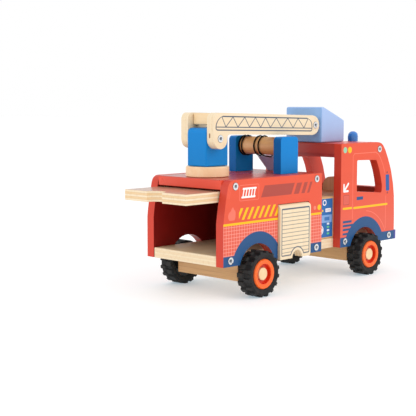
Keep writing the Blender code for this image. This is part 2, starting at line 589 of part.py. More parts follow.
# the free end: from beside the last turn, sagging, and over into the nozzle
low_z = DRUM_Z - wind_r
cord("hose_tail", eased([(DRUM_X - 2.0, -4.9, low_z - 0.2), (148.5, -4.8, low_z - 1.1),
                         (153.5, -4.0, low_z - 1.8), (159.0, -1.6, low_z - 1.4),
                         (165.0, 2.2, low_z + 0.4), (171.0, 6.6, low_z + 3.0),
                         (175.6, 10.4, low_z + 4.2), (177.3, 11.8, low_z + 2.2),
                         (NOZZLE_X, NOZZLE_Y, REAR_TOP + 2 * GAP + 19.6)]), CORD_R, BLACK)
turned("hose_nozzle", [(0, 19.6), (20.2, 19.6), (20.2, 18.4), (6.8, 0), (0, 0)], 32, "z",
       (NOZZLE_X, NOZZLE_Y, REAR_TOP + GAP), GREY)
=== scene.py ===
import math
from collections import namedtuple

import bmesh
import bpy
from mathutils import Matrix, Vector


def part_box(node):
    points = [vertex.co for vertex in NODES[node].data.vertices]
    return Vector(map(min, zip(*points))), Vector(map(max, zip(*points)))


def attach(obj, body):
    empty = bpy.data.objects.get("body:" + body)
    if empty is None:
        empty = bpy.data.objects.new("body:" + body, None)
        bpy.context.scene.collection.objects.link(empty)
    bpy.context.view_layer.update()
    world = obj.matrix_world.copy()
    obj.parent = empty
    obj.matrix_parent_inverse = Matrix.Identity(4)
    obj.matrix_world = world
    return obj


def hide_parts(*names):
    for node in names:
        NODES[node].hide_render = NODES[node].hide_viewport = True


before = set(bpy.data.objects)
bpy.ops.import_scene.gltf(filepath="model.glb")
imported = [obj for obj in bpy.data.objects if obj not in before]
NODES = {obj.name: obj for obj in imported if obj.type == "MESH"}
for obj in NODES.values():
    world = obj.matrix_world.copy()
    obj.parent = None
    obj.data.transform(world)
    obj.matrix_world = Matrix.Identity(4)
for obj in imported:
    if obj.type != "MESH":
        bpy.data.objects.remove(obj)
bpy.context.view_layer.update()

MID_X = 154.35                # the part's origin, from the rear end of the body
PANEL_Z = 41.2                # lower edge of the side panels above the ground
WHEEL_V = 28.0 - PANEL_Z      # wheel centres
AXLES = {"rear": 60.0, "front": 279.0}
SIDES = {"left": 1.0, "right": -1.0}
ARCH_V, FENDER_R = -10.0, 47.4          # centre and radius of the blue wheel surrounds
# axis, start and thickness of each plywood board's stack of layers
STACKS = {"left_shutter": ("y", 57.0, 11.6), "right_shutter": ("y", -68.6, 11.6),
          "left_boom_arm": ("y", 16.2, 11.6), "right_boom_arm": ("y", -27.8, 11.6),
          "floor_board": ("z", -0.3, 12.6), "rear_hatch": ("z", 75.1, 12.6),
          "basket_tongue": ("x", 209.6, 17.0), "hatch_pin": ("x", 0.0, 100.0)}


def colour(code):
    """Linear colour from an sRGB hex code."""
    out = []
    for i in (0, 2, 4):
        c = int(code[i:i + 2], 16) / 255
        out.append(c / 12.92 if c <= 0.04045 else ((c + 0.055) / 1.055) ** 2.4)
    return (*out, 1.0)


CORAL, CORAL_LOW = colour("E05438"), colour("E05E48")
# the second colour on the next line is painted shade: the dark red of the faces inside the rear
# hold
EDGE_RED, HOLD_SHADE_RED = colour("CC402E"), colour("8A1B17")
LIGHT_LINE, CHECK_LINE = colour("F78A74"), colour("FBBCB0")
YELLOW, WHITE = colour("F3BC0E"), colour("F8F4F2")
FENDER, MAROON = colour("1F4F80"), colour("A8463B")
PLY_PALE, PLY_WARM, PLY_DARK = colour("EBD9B9"), colour("E4C193"), colour("B98A57")
GLUE = colour("C79A66")
PRINT_GREY = colour("3A4F67")


# ---------------------------------------------------------------- numbers over a surface
TREE = None                   # node tree of the material that is being made
Place = namedtuple("Place", "u y v n")  # position in millimetres, and the normal


class Num:
    """A number that varies over the surface, held as a chain of Math nodes."""

    def __init__(self, socket):
        self.socket = socket

    def __add__(self, other):
        return calc("ADD", self, other)

    __radd__ = __add__

    def __sub__(self, other):
        return calc("SUBTRACT", self, other)

    def __rsub__(self, other):
        return calc("SUBTRACT", other, self)

    def __mul__(self, other):
        return calc("MULTIPLY", self, other)

    __rmul__ = __mul__

    def __pow__(self, other):
        return calc("POWER", self, other)

    def __abs__(self):
        return calc("ABSOLUTE", self)

    def __neg__(self):
        return calc("MULTIPLY", self, -1.0)


def plug(value, socket):
    if isinstance(value, Num):
        TREE.links.new(value.socket, socket)
    elif isinstance(value, bpy.types.NodeSocket):
        TREE.links.new(value, socket)
    else:
        socket.default_value = value


def calc(operation, *args, clamp=False):
    node = TREE.nodes.new("ShaderNodeMath")
    node.operation = operation
    node.use_clamp = clamp
    for value, socket in zip(args, node.inputs):
        plug(value, socket)
    return Num(node.outputs[0])


def low(*values):
    out = values[0]
    for v in values[1:]:
        out = calc("MINIMUM", out, v)
    return out


def high(*values):
    out = values[0]
    for v in values[1:]:
        out = calc("MAXIMUM", out, v)
    return out


def length(a, b):
    return calc("SQRT", a * a + b * b)


def wrapped(value, period):
    return calc("FLOORED_MODULO", value, period)


def zigzag(value, top):
    """Rises from 0 to top and falls back, over and over."""
    return calc("PINGPONG", value, top)


def inside(distance, soft=0.16):
    """1 where a signed distance is below zero, with a narrow soft edge."""
    return calc("MULTIPLY_ADD", distance, -1.0 / soft, 0.5, clamp=True)


def ramp(v, a, b):
    """0 at a to 1 at b."""
    return calc("MULTIPLY_ADD", v, 1.0 / (b - a), -a / (b - a), clamp=True)


def around(v, spread, middle=1.0):
    """The middle where v is a half, and spread wide from v = 0 to v = 1."""
    return calc("MULTIPLY_ADD", v, spread, middle - spread / 2)


def towards(component):
    """1 on faces whose normal has this component near 1."""
    return ramp(component, 0.6, 0.75)


def disc(u, v, cu, cv, r):
    return length(u - cu, v - cv) - r


def rect(u, v, u0, u1, v0, v1, r=0.0):
    """Signed distance to a rectangle, with rounded corners when r is given."""
    du = abs(u - (u0 + u1) / 2) - ((u1 - u0) / 2 - r)
    dv = abs(v - (v0 + v1) / 2) - ((v1 - v0) / 2 - r)
    return rounded(du, dv, r) if r else high(du, dv)


def rounded(du, dv, r):
    """Signed distance from two overhangs of a box that is grown by r."""
    return length(high(du, 0.0), high(dv, 0.0)) + low(high(du, dv), 0.0) - r


def stroke(u, v, a, b, width):
    """Signed distance to a straight line with round ends."""
    (au, av), (bu, bv) = a, b
    du, dv = bu - au, bv - av
    length2 = du * du + dv * dv
    pu, pv = u - au, v - av
    t = calc("MULTIPLY_ADD", pu, du / length2, pv * (dv / length2), clamp=True)
    return length(pu - t * du, pv - t * dv) - width / 2


def path(u, v, points, width):
    return low(*[stroke(u, v, a, b, width) for a, b in zip(points, points[1:])])


def mix(a, b, share):
    node = TREE.nodes.new("ShaderNodeMix")
    node.data_type = "RGBA"
    node.clamp_factor = True
    plug(share, node.inputs[0])
    plug(a, node.inputs[6])
    plug(b, node.inputs[7])
    return node.outputs[2]


def stamp(base, ink, shape, share=None, soft=0.16):
    """The base with ink inside a shape; share is how much the ink covers."""
    cover = inside(shape, soft)
    return mix(base, ink, cover if share is None else cover * share)


def bright(a, gain):
    """A colour times a number that varies."""
    node = TREE.nodes.new("ShaderNodeVectorMath")
    node.operation = "SCALE"
    plug(a if not isinstance(a, tuple) else a[:3], node.inputs[0])
    plug(gain, node.inputs["Scale"])
    return node.outputs[0]


def surface_place():
    """Object position in millimetres (u, y, v) and the object-space normal."""
    texture = TREE.nodes.new("ShaderNodeTexCoord")
    place = TREE.nodes.new("ShaderNodeSeparateXYZ")
    facing = TREE.nodes.new("ShaderNodeSeparateXYZ")
    TREE.links.new(texture.outputs["Object"], place.inputs[0])
    TREE.links.new(texture.outputs["Normal"], facing.inputs[0])
    x, y, z = (Num(place.outputs[i]) for i in range(3))
    n = [Num(facing.outputs[i]) for i in range(3)]
    return Place(x * 1000.0 + MID_X, y * 1000.0, z * 1000.0 - PANEL_Z, n)


def noise(scale, stretch=(1, 1, 1), detail=3.0, rough=0.55, turn=(0, 0, 0)):
    """Noise in object space; scale is in cycles per metre."""
    texture = TREE.nodes.new("ShaderNodeTexCoord")
    mapping = TREE.nodes.new("ShaderNodeMapping")
    mapping.inputs["Rotation"].default_value = turn
    mapping.inputs["Scale"].default_value = stretch
    node = TREE.nodes.new("ShaderNodeTexNoise")
    node.inputs["Scale"].default_value = scale
    node.inputs["Detail"].default_value = detail
    node.inputs["Roughness"].default_value = rough
    TREE.links.new(texture.outputs["Object"], mapping.inputs[0])
    TREE.links.new(mapping.outputs[0], node.inputs["Vector"])
    return Num(node.outputs[0])


def begin(name, roughness, metallic=0.0, coat=0.0, coat_roughness=0.1, specular=0.5):
    """Opens a material; TREE is its node tree until the next one."""
    global TREE
    mat = bpy.data.materials.new(name)
    mat.use_nodes = True
    TREE = mat.node_tree
    shader = TREE.nodes["Principled BSDF"]
    shader.inputs["Roughness"].default_value = roughness
    shader.inputs["Metallic"].default_value = metallic
    shader.inputs["Coat Weight"].default_value = coat
    shader.inputs["Coat Roughness"].default_value = coat_roughness
    shader.inputs["Specular IOR Level"].default_value = specular
    return mat, shader


def close(shader, base, roughness, height, strength, depth=0.00012):
    """Plugs in the colour, the roughness and the relief."""
    plug(base, shader.inputs["Base Color"])
    plug(roughness, shader.inputs["Roughness"])
    bump = TREE.nodes.new("ShaderNodeBump")
    bump.inputs["Strength"].default_value = strength
    bump.inputs["Distance"].default_value = depth
    plug(height, bump.inputs["Height"])
    TREE.links.new(bump.outputs[0], shader.inputs["Normal"])


# ---------------------------------------------------------------- paint and wood
STRETCH = {"x": (0.06, 1, 1), "y": (1, 0.06, 1), "z": (1, 1, 0.06)}
PLY_COUNT = 5


def finer(stretch, share):
    """The same direction, drawn out further."""
    return tuple(share * s if s < 1 else s for s in stretch)


def painted(name, base, grain, roughness=0.3, coat=0.1, vary=0.05, specular=0.25, rear=None):
    """Paint on wood: faint grain beneath it and fine orange peel; rear, where given, is a
    darker colour on the rear face, as painted shade."""
    mat, shader = begin(name, roughness, coat=coat, specular=specular)
    ground = noise(90, STRETCH[grain])
    peel = noise(1400, detail=2)
    blot = noise(24, detail=2)
    # a darker rear face is painted shade
    if rear:
        base = mix(base, rear, ramp(-surface_place().n[0], 0.5, 0.8))
    tone = around(ground, vary) * around(blot, vary)
    relief = ground * 0.8 + peel * 0.35
    close(shader, bright(base, tone), around(blot, 0.14, roughness), relief, 0.16)
    return mat


def grain_colour(along, pale=PLY_PALE, warm=PLY_WARM, scale=1.0, depth=0.5):
    """Pale wood with long soft streaks and fine pores along one axis, and its relief."""
    stretch = STRETCH[along]
    broad = noise(85 * scale, stretch, 4, 0.6)
    fine = noise(520 * scale, finer(stretch, 0.35), 3, 0.6)
    tone = mix(pale, warm, ramp(broad, 0.38, 0.68) * depth)
    return mix(tone, PLY_DARK, ramp(fine, 0.62, 0.78) * 0.22), broad * 0.7 + fine * 0.5


def plies(t, thickness, contrast):
    """Colour of a plywood edge; t runs across the thickness, from 0."""
    layer = t * (PLY_COUNT / thickness)
    every_other = wrapped(calc("FLOOR", layer), 2.0)
    fibre = noise(260, (0.35, 1, 1), 4, 0.65)
    end_grain = noise(900, (1, 1, 0.35), 2)
    tone = mix(PLY_PALE, colour("E2BE8C"), every_other * (0.5 * contrast))
    tone = mix(tone, colour("C99F68"), ramp(fibre, 0.5, 0.75) * 0.3)
    tone = stamp(tone, GLUE, zigzag(layer, 0.5) - 0.05, 0.5 * contrast, 0.1)
    return mix(tone, PLY_DARK, ramp(end_grain, 0.62, 0.8) * 0.25)


def plywood(name, node, grain, depth=0.5, roughness=0.5, coat=0.05, contrast=1.0,
            on_face=None, on_edge=None):
    """Natural plywood with the node's stack of layers. on_face and on_edge take a colour
    and the place, and may draw on the broad faces or on everything."""
    axis, start, thickness = STACKS[node]
    mat, shader = begin(name, roughness, coat=coat, coat_roughness=0.12, specular=0.3)
    at = surface_place()
    face, height = grain_colour(grain, depth=depth)
    if on_face:
        face = on_face(face, at)
    across = {"x": at.u, "y": at.y, "z": at.v}[axis] - start
    flat = ramp(abs(at.n["xyz".index(axis)]), 0.55, 0.7)
    base = mix(plies(across, thickness, contrast), face, flat)
    if on_edge:
        base = on_edge(base, at)
    close(shader, base, around(height, 0.1, roughness), height, 0.3)
    return mat


def hardwood(name, grain, pale, warm, turn=(0, 0, 0), rough=0.45, gloom=0.4):
    """Wood with wide streaks, growth rings and dark pores; gloom is how dark they are."""
    mat, shader = begin(name, rough, coat=0.15, coat_roughness=0.25)
    stretch = STRETCH[grain]
    broad = noise(70, stretch, 5, 0.62, turn)
    rings = zigzag(noise(38, stretch, 2, 0.5, turn) * 9.0, 1.0)
    fine = noise(700, finer(stretch, 0.3), 3, 0.6, turn)
    tone = mix(pale, warm, ramp(broad, 0.35, 0.7) * 0.75)
    tone = mix(tone, warm, rings * 0.3)
    tone = mix(tone, colour("6E4826"), ramp(fine, 0.58, 0.75) * gloom)
    close(shader, tone, around(broad, 0.14, rough), broad + fine * 0.5, 0.3)
    return mat


# ---------------------------------------------------------------- side panels
def begin_panel(name):
    mat, shader = begin(name, 0.4, coat=0.06, specular=0.22)
    return mat, shader, surface_place()


def finish_panel(shader, at, side, printed, hidden):
    """The print on the outer face, edge paint on the sawn edges, the hidden colour inside: on the
    rear panels that is painted shade of the hold.
    """
    outward = at.n[1] * side
    base = mix(EDGE_RED, printed, ramp(outward, 0.55, 0.7))
    base = mix(base, hidden, ramp(-outward, 0.55, 0.7))
    ground = noise(75, (0.08, 1, 1))
    peel = noise(1500, detail=2)
    blot = noise(18, detail=2)
    base = bright(base, around(blot, 0.08) * around(ground, 0.05))
    close(shader, base, around(blot, 0.12, 0.36), ground * 0.8 + peel * 0.3, 0.14)


def wheel_ring(u, v, end, radius):
    """A disc round a wheel arch."""
    return disc(u, v, AXLES[end], ARCH_V, radius)


def rear_panel(word, side):
    mat, shader, at = begin_panel(f"{word}_rear_panel_print")
    u, v = at.u, at.v
    base = mix(CORAL_LOW, CORAL, ramp(v, 47.0, 50.0))
    # woven check below the yellow line
    across = inside(zigzag(u - 0.2, 2.275) - 0.38, 0.45)
    along = inside(zigzag(v - 1.0, 2.05) - 0.38, 0.45)
    below = inside(v - 48.4)
    base = mix(base, CHECK_LINE, across * below * 0.5)
    base = mix(base, CHECK_LINE, along * below * 0.45)
    # yellow line and slanted warning bars
    base = stamp(base, YELLOW, rect(u, v, -3, 200, 48.2, 50.9))
    slant = u - (v - 53.6) * 0.61
    bars = abs(wrapped(slant - 23.6 + 4.93, 9.87) - 4.93) - 2.2
    base = stamp(base, YELLOW, high(bars, rect(u, v, 26.6, 98.5, 53.6, 67.5)), soft=0.3)
    # outlined badge with a ladder pictogram
    badge = abs(rect(u, v, 27.6, 61.7, 76.2, 94.4, 1.6)) - 0.3
    base = stamp(base, LIGHT_LINE, badge, 0.75, 0.3)
    lean = u - 0.22 * (v - 85.0)
    rails = [rect(lean, v, 32.0, 56.6, v0, v1, 0.9) for v0, v1 in ((89.0, 91.2), (79.0, 81.2))]
    rungs = high(abs(wrapped(lean - 32.0, 4.92) - 2.46) - 0.9,
                 rect(lean, v, 32.0, 56.6, 80.0, 90.0))
    base = stamp(base, WHITE, low(*rails, rungs))
    # dark slanted window band
    lean = u - (v - 77.8) * 0.47
    band = low(*[rect(lean, v, u0, u1, 77.8, v1) for u0, u1, v1 in
                 ((65.8, 122.8, 91.8), (127.6, 137.6, 91.4),
                  (142.4, 149.0, 91.4), (154.0, 158.4, 91.4))])
    base = stamp(base, MAROON, band, 0.95)
    # flame sign
    flame = low(disc(u, v, 14.4, 59.0, 6.3),
                high(disc(u, v, 8.6, 62.4, 10.6), disc(u, v, 22.2, 61.6, 10.2)),
                high(disc(u, v, 12.2, 61.6, 8.6), disc(u, v, 26.0, 61.6, 8.2)))
    base = stamp(base, colour("F98672"), high(flame, 54.2 - v), 0.6)
    # lamp dots
    base = stamp(base, YELLOW, disc(u, v, 179.2, 57.4, 3.5))
    base = stamp(base, colour("F98E7C"), disc(u, v, 170.2, 57.4, 2.6), 0.7)
    # pale lines near the rear upper corner: a painted highlight along the panel's edge
    for k in range(3):
        shift = 2.4 * k
        line = stroke(u, v, (5.0 + shift, 80.0), (10.5 + shift, 98.0), 0.4)
        base = stamp(base, LIGHT_LINE, line, 0.35, 0.3)
    # blue wheel surround and corner guards
    guard = low(rect(u, v, -2.0, 20.0, -2.0, 12.4), rect(u, v, 161.8, 190.0, -2.0, 12.4))
    ring = high(wheel_ring(u, v, "rear", FENDER_R), rect(u, v, 0.0, 97.6, -20, 60))
    base = stamp(base, FENDER, low(guard, ring))
    # the inner face takes the dark red of painted shade in the hold
    finish_panel(shader, at, side, base, HOLD_SHADE_RED)
    return mat


DOOR_LINE = ((251.6, 36.0), (251.2, 120.0), (254.0, 123.2), (303.0, 123.6), (309.0, 121.0),
             (314.4, 115.6), (320.4, 106.4), (324.6, 97.6), (325.6, 94.0))


def cab_panel(word, side):
    mat, shader, at = begin_panel(f"{word}_cab_panel_print")
    u, v = at.u, at.v
    base = mix(CORAL_LOW, CORAL, ramp(v, 30.0, 75.0))
    # thin pale lines round the door, the window and the nose; the straight one down the nose is a
    # painted highlight on the panel's front edge
    arc = abs(wheel_ring(u, v, "front", 54.8)) - 0.38
    lines = low(path(u, v, DOOR_LINE, 0.75), path(u, v, [(329.2, 16.8), (329.0, 62.0)], 0.75),
                high(arc, rect(u, v, 283.0, 330.0, 14.0, 60.0)))
    base = stamp(base, LIGHT_LINE, lines, 0.75, 0.3)
    # yellow line in two parts
    base = stamp(base, YELLOW, low(rect(u, v, 229.8, 250.2, 49.8, 52.6, 0.5),
                                   rect(u, v, 253.4, 333.4, 49.2, 52.0, 0.9)))
    # dark vent field
    vent = rect(u, v, 231.2, 243.4, 56.4, 68.6, 0.6)
    base = stamp(base, colour("E2695A"), vent, 0.7)
    slats = high(abs(zigzag(v, 0.95) - 0.475) - 0.22, vent + 1.2)
    base = stamp(base, MAROON, slats, 0.45)
    base = stamp(base, MAROON, abs(vent) - 0.45, 0.8)
    # white arrow towards the rear lower corner
    base = stamp(base, WHITE, low(path(u, v, [(241.4, 84.0), (232.6, 75.0)], 2.9),
                                  path(u, v, [(231.8, 83.0), (231.8, 74.2), (240.8, 74.2)], 2.7)))
    # door handle and mirror
    base = stamp(base, FENDER, rect(u, v, 260.4, 275.2, 60.7, 65.1, 0.8))
    tilt = u + (v - 80.0) * 0.06
    base = stamp(base, colour("1D579B"), rect(tilt, v, 328.4, 336.9, 69.0, 91.8, 1.6))
    studs = low(disc(u, v, 331.4, 94.6, 1.5), disc(u, v, 332.8, 66.4, 1.4))
    base = stamp(base, colour("7E3A48"), studs)
    # lamp dots
    base = stamp(base, colour("93C9A6"), disc(u, v, 233.5, 128.7, 4.0))
    base = stamp(base, YELLOW, disc(u, v, 243.8, 128.6, 4.2))
    # louvres, wheel surround and corner guards
    louvres = [rect(u, v, 230.2, u1, v0, v1, 0.7) for u1, v0, v1 in
               ((249.8, 31.8, 34.9), (256.0, 26.7, 29.7), (252.0, 21.5, 24.4), (246.0, 15.9, 18.6))]
    guards = [rect(u, v, 222.0, 240.0, -2.0, 13.0), rect(u, v, 319.0, 352.0, -2.0, 12.5)]
    base = stamp(base, FENDER, low(wheel_ring(u, v, "front", FENDER_R), *guards, *louvres))
    finish_panel(shader, at, side, base, colour("D4452F"))
    return mat


def red_board(name, shade, shaded_under=None, axis=2, roughness=0.2, coat=0.6, top=None, drawing=None):
    """A plain red board. Its lower face, or its rear face when the axis is 0, and its upper
    face may each take a darker red, as painted shade; drawing adds a print."""
    mat, shader = begin(name, roughness, coat=coat, coat_roughness=0.06)
    at = surface_place()
    ground = noise(70, (1, 0.08, 1))
    peel = noise(1500, detail=2)
    blot = noise(20, detail=2)
    base = shade
    # painted shade: darker reds on the lower or rear face and on the upper face
    if shaded_under:
        base = mix(base, shaded_under, ramp(-at.n[axis], 0.5, 0.7))
    if top:
        base = mix(base, top, towards(at.n[2]))
    if drawing:
        base = drawing(base, at)
    base = bright(base, around(blot, 0.1))
    close(shader, base, around(blot, 0.1, roughness), ground + peel * 0.2, 0.12)
    return mat


def front_print(base, at):
    """Headlamps, a grille and the yellow line on the nose."""
    beside, v = abs(at.y), at.v
    ahead = towards(at.n[0])
    lamps = disc(beside, v, 38.0, 33.0, 8.0)
    grille = high(rect(beside, v, -1.0, 23.0, 22.0, 44.0, 2.0), abs(wrapped(v, 4.6) - 2.3) - 1.3)
    base = stamp(base, YELLOW, rect(beside, v, -1.0, 60.0, 49.4, 52.2), ahead)
    base = stamp(base, FENDER, grille, ahead)
    base = stamp(base, WHITE, lamps, ahead)
    base = stamp(base, FENDER, abs(lamps) - 0.8, ahead)
    return stamp(base, LIGHT_LINE, abs(lamps + 3.4) - 0.4, ahead)


# ---------------------------------------------------------------- printed plywood
def shutter_print(word, side):
    """A rolling shutter's slats on the outer face, and dark red on the inner one as painted shade
    of the hold.
    """
    def draw(face, at):
        door = rect(at.u, at.v, 101.0, 154.4, 2.9, 60.8, 1.2)
        border = high(door, -disc(at.u, at.v, 131.0, -1.6, 13.4))
        wave = (noise(55, (1, 1, 0.2), 1) - 0.5) * 0.5
        slats = abs(wrapped(at.v - 4.2 + wave, 4.85) - 2.42) - 0.36
        printed = stamp(face, colour("5E666E"), high(slats, border + 0.3), 0.9, 0.35)
        printed = stamp(printed, PRINT_GREY, abs(border) - 0.7, 0.95, 0.3)
        # the inner face takes the dark red of painted shade in the hold
        face = mix(face, HOLD_SHADE_RED, towards(at.n[1] * -side))
        return mix(face, printed, towards(at.n[1] * side))
    return plywood(f"{word}_shutter_ply", f"{word}_shutter", "z", depth=0.3, on_face=draw)


GIRDER_FOOT, GIRDER_TOP = -20.2, -3.8        # below the arm's upper edge
WEB_FOOT, WEB_TOP = -16.4, -4.2
# where the web turns, from the rear
LATTICE = (36.7, 43.6, 56.4, 65.0, 77.6, 86.2, 97.2, 107.0, 116.2, 125.6, 137.0, 147.6,
           159.6, 170.6, 180.6, 192.8, 201.3)


def arm_print(word, side):
    """A lattice girder along the boom arm's outer face."""
    def draw(face, at):
        u = at.u
        t = (at.v - 178.3) + (u - 36.8) * 0.0258       # below the arm's upper edge
        height = ramp(t, GIRDER_FOOT, GIRDER_TOP)
        left = 26.4 + height ** 2.8 * 10.0
        right = 209.8 - height ** 4.5 * 8.3
        # outline with rounded upper corners, lower chord, web
        hull = rounded(high(left - u, u - right) + 3.0,
                       high(t - GIRDER_TOP, GIRDER_FOOT - t) + 3.0, 3.0)
        chord = high(abs(t + 16.6) - 0.6, hull)
        turns = [(x, WEB_FOOT if i % 2 else WEB_TOP) for i, x in enumerate(LATTICE)]
        web = high(path(u, t, turns, 1.1), high(t + 4.0, -16.6 - t))
        printed = stamp(face, PRINT_GREY, low(abs(hull) - 0.75, chord, web), 0.97, 0.3)
        return mix(face, printed, towards(at.n[1] * side))

    def void_shade(edge, at):
        """A void in one layer of the arm's rear edge, drawn as a dark patch of painted shade."""
        gap = stroke(at.y, at.v, (-20.5, 149.6), (-20.5, 153.2), 2.2)
        return stamp(edge, colour("7A4E25"), gap, towards(-at.n[0]) * 0.9, 0.5)
    return plywood(f"{word}_arm_ply", f"{word}_boom_arm", "x", depth=0.28, contrast=0.35,
                   on_face=draw, on_edge=void_shade if side < 0 else None)


def pump_print():
    """Instruments on both ends of the pump block."""
    mat, shader = begin("pump_block_print", 0.42, coat=0.05, specular=0.25)
    at = surface_place()
    u, v = at.u, at.v
    face, height = grain_colour("y", colour("D9B47F"), colour("B58450"))
    blue = colour("286DB0")
    ink = stamp(blue, colour("7FA9DC"), rect(u, v, 186.0, 221.8, 34.0, 44.0, 0.5))
    for centre in (194.0, 206.0):                      # two outlets
        ink = stamp(ink, WHITE, disc(u, v, centre, 60.4, 3.9))
        ink = stamp(ink, blue, disc(u, v, centre, 60.4, 2.5))
    # gauge with its needle
    ink = stamp(ink, WHITE, disc(u, v, 198.0, 24.6, 6.2))
    ink = stamp(ink, blue, abs(disc(u, v, 198.0, 24.6, 4.7)) - 0.25)
    ink = stamp(ink, colour("D8372A"), stroke(u, v, (198.0, 24.6), (200.8, 27.8), 0.7))
    for k, code in enumerate(("F4C21B", "E0522E", "F4C21B")):
        ink = stamp(ink, colour(code), disc(u, v, 192.0 + 5.0 * k, 50.0, 1.5))
    # counter and display
    ink = stamp(ink, WHITE, rect(u, v, 208.0, 219.5, 47.8, 52.6, 0.6))
    ticks = abs(zigzag(u, 1.2) - 0.6) - 0.2
    ink = stamp(ink, blue, ticks, inside(rect(u, v, 209.0, 218.5, 49.0, 51.5)))
    ink = stamp(ink, blue, rect(u, v, 206.0, 216.5, 36.6, 41.4, 0.6), 0.85)
    for k, code in enumerate(("63C08D", "DDE6EE", "63C08D", "DDE6EE")):
        key = rect(u, v, 211.4, 216.6, 18.0 + 4.3 * k, 20.6 + 4.3 * k, 0.5)
        ink = stamp(ink, colour(code), key)
    panel = rect(u, v, 186.0, 223.4, 14.6, 65.4, 0.8)
    face = stamp(face, ink, panel, towards(abs(at.n[1])))
    close(shader, face, 0.42, height, 0.2)
    return mat


def hatch_shaded_top(face, at):
    """The hatch's upper face is darker and redder: painted shade from the roof's edge above it and
    painted red light thrown back by the roof.
    """
    return mix(face, colour("A8745A"), towards(at.n[2]) * 0.85)


# ---------------------------------------------------------------- wheels
def from_axle(at, end):
    return length(at.u - AXLES[end], at.v - WHEEL_V)


def rim_material(end):
    mat, shader = begin(f"{end}_rim_plastic", 0.34, coat=0.08, specular=0.3)
    at = surface_place()
    face = mix(colour("DA3210"), colour("F8681F"), ramp(from_axle(at, end), 12.0, 12.9))
    inner_side = ramp(calc("SIGN", at.y) * at.n[1] * -1.0, 0.3, 0.6)
    face = mix(face, colour("1C1C1D"), inner_side)
    scuff = noise(160)
    face = bright(face, around(scuff, 0.1))
    close(shader, face, around(scuff, 0.16, 0.28), noise(900, detail=2), 0.06)
    return mat


def tyre_material(end):
    mat, shader = begin(f"{end}_tyre_rubber", 0.62, specular=0.28)
    at = surface_place()
    r = from_axle(at, end)
    grime = noise(140, detail=4)
    base = mix(colour("141415"), colour("242424"), ramp(grime, 0.35, 0.7))
    base = mix(base, colour("2E2D2C"), ramp(r, 26.0, 28.4) * 0.5)
    grooves = zigzag(r, 0.9) * ramp(abs(at.n[1]), 0.8, 0.95)
    relief = noise(800) * 0.7 + grooves * 0.5
    close(shader, base, around(grime, 0.2, 0.6), relief, 0.35, 0.0002)
    return mat


def axle_material(end):
    """The turned axle, with faint rings on its rounded ends."""
    mat, shader = begin(f"{end}_axle_wood", 0.5, coat=0.1, coat_roughness=0.3)
    at = surface_place()
    face, height = grain_colour("y", colour("F4DCAF"), colour("E2B57A"), scale=1.2)
    pith = length(at.u - (AXLES[end] - 3.0), at.v - WHEEL_V)
    rings = zigzag(pith + noise(120, detail=2) * 1.2, 0.55)
    face = mix(face, colour("D9A96B"), rings * ramp(abs(at.n[1]), 0.8, 0.95) * 0.35)
    close(shader, face, 0.5, height, 0.25)
    return mat


# ---------------------------------------------------------------- steel, cord, nozzle
def steel(name="bolt_steel_finish", head_y=None):
    """Bright steel; with head_y, darker in the depth of the sockets and at the foot of each head,
    as painted shade.
    """
    mat, shader = begin(name, 0.22, metallic=1.0)
    marks = noise(700)
    base = mix(colour("C9CDD0"), colour("F2F4F5"), marks)
    if head_y:
        # painted shade deep in the sockets and where the heads meet the panels
        depth = ramp(abs(surface_place().y), head_y - 0.9, head_y - 0.4)
        base = mix(colour("7C828A"), base, depth)
    close(shader, base, around(marks, 0.2, 0.26), marks, 0.12)
    return mat


def cord_black():
    mat, shader = begin("woven_black_cord", 0.7, specular=0.15)
    shader.inputs["Sheen Weight"].default_value = 0.06
    weave = TREE.nodes.new("ShaderNodeTexVoronoi")
    texture = TREE.nodes.new("ShaderNodeTexCoord")
    weave.inputs["Scale"].default_value = 1500
    TREE.links.new(texture.outputs["Object"], weave.inputs["Vector"])
    cells = Num(weave.outputs["Distance"])
    base = mix(colour("1A1A1B"), colour("060606"), cells * 1.2)
    close(shader, base, 0.75, cells, 0.6, 0.0002)
    return mat


def nozzle_grey():
    mat, shader = begin("nozzle_paint", 0.3, coat=0.3)
    base = bright(colour("B4B2D2"), around(noise(60, detail=2), 0.1))
    close(shader, base, 0.32, noise(1100, detail=2), 0.1)
    return mat


# ---------------------------------------------------------------- give them out
def wear(material, *names):
    for name in names:
        obj = NODES[name]
        obj.data.materials.clear()
        obj.data.materials.append(material)


for word, side in SIDES.items():
    wear(rear_panel(word, side), f"{word}_rear_side_panel")
    wear(cab_panel(word, side), f"{word}_cab_panel")
    wear(shutter_print(word, side), f"{word}_shutter")
    wear(arm_print(word, side), f"{word}_boom_arm")

# the roof's lower face is the dark red of painted shade in the hold, and its upper face a darker
# red for painted shade between the hose posts and the arms
wear(red_board("roof_red", colour("E94C30"), HOLD_SHADE_RED, roughness=0.28, coat=0.02,
               top=colour("B33427")), "rear_roof")
# the bulkhead is a dark red all over, painted shade inside the hold
wear(red_board("bulkhead_red", colour("8C1E1A")), "hold_bulkhead")
# the cab roof's rear face is a darker red, painted shade
wear(red_board("cab_roof_red", colour("E8452E"), colour("B23A30"), axis=0, roughness=0.34,
               coat=0.1), "cab_roof")
# the cab front's rear face, inside the cab, is a darker red, painted shade
wear(red_board("cab_front_red", colour("E6462F"), colour("A02A20"), axis=0, roughness=0.38,
               coat=0.1, drawing=front_print), "cab_front_panel")

wear(plywood("floor_ply", "floor_board", "x", contrast=0.6), "floor_board")
wear(plywood("tongue_ply", "basket_tongue", "y", depth=0.4), "basket_tongue")
# the hatch's upper face carries painted shade and painted red bounce light
wear(plywood("hatch_ply", "rear_hatch", "y", roughness=0.32, coat=0.35, contrast=1.6,
             on_face=hatch_shaded_top), "rear_hatch")
wear(plywood("pin_ply", "hatch_pin", "y"), "hatch_pin")
wear(pump_print(), "pump_block")

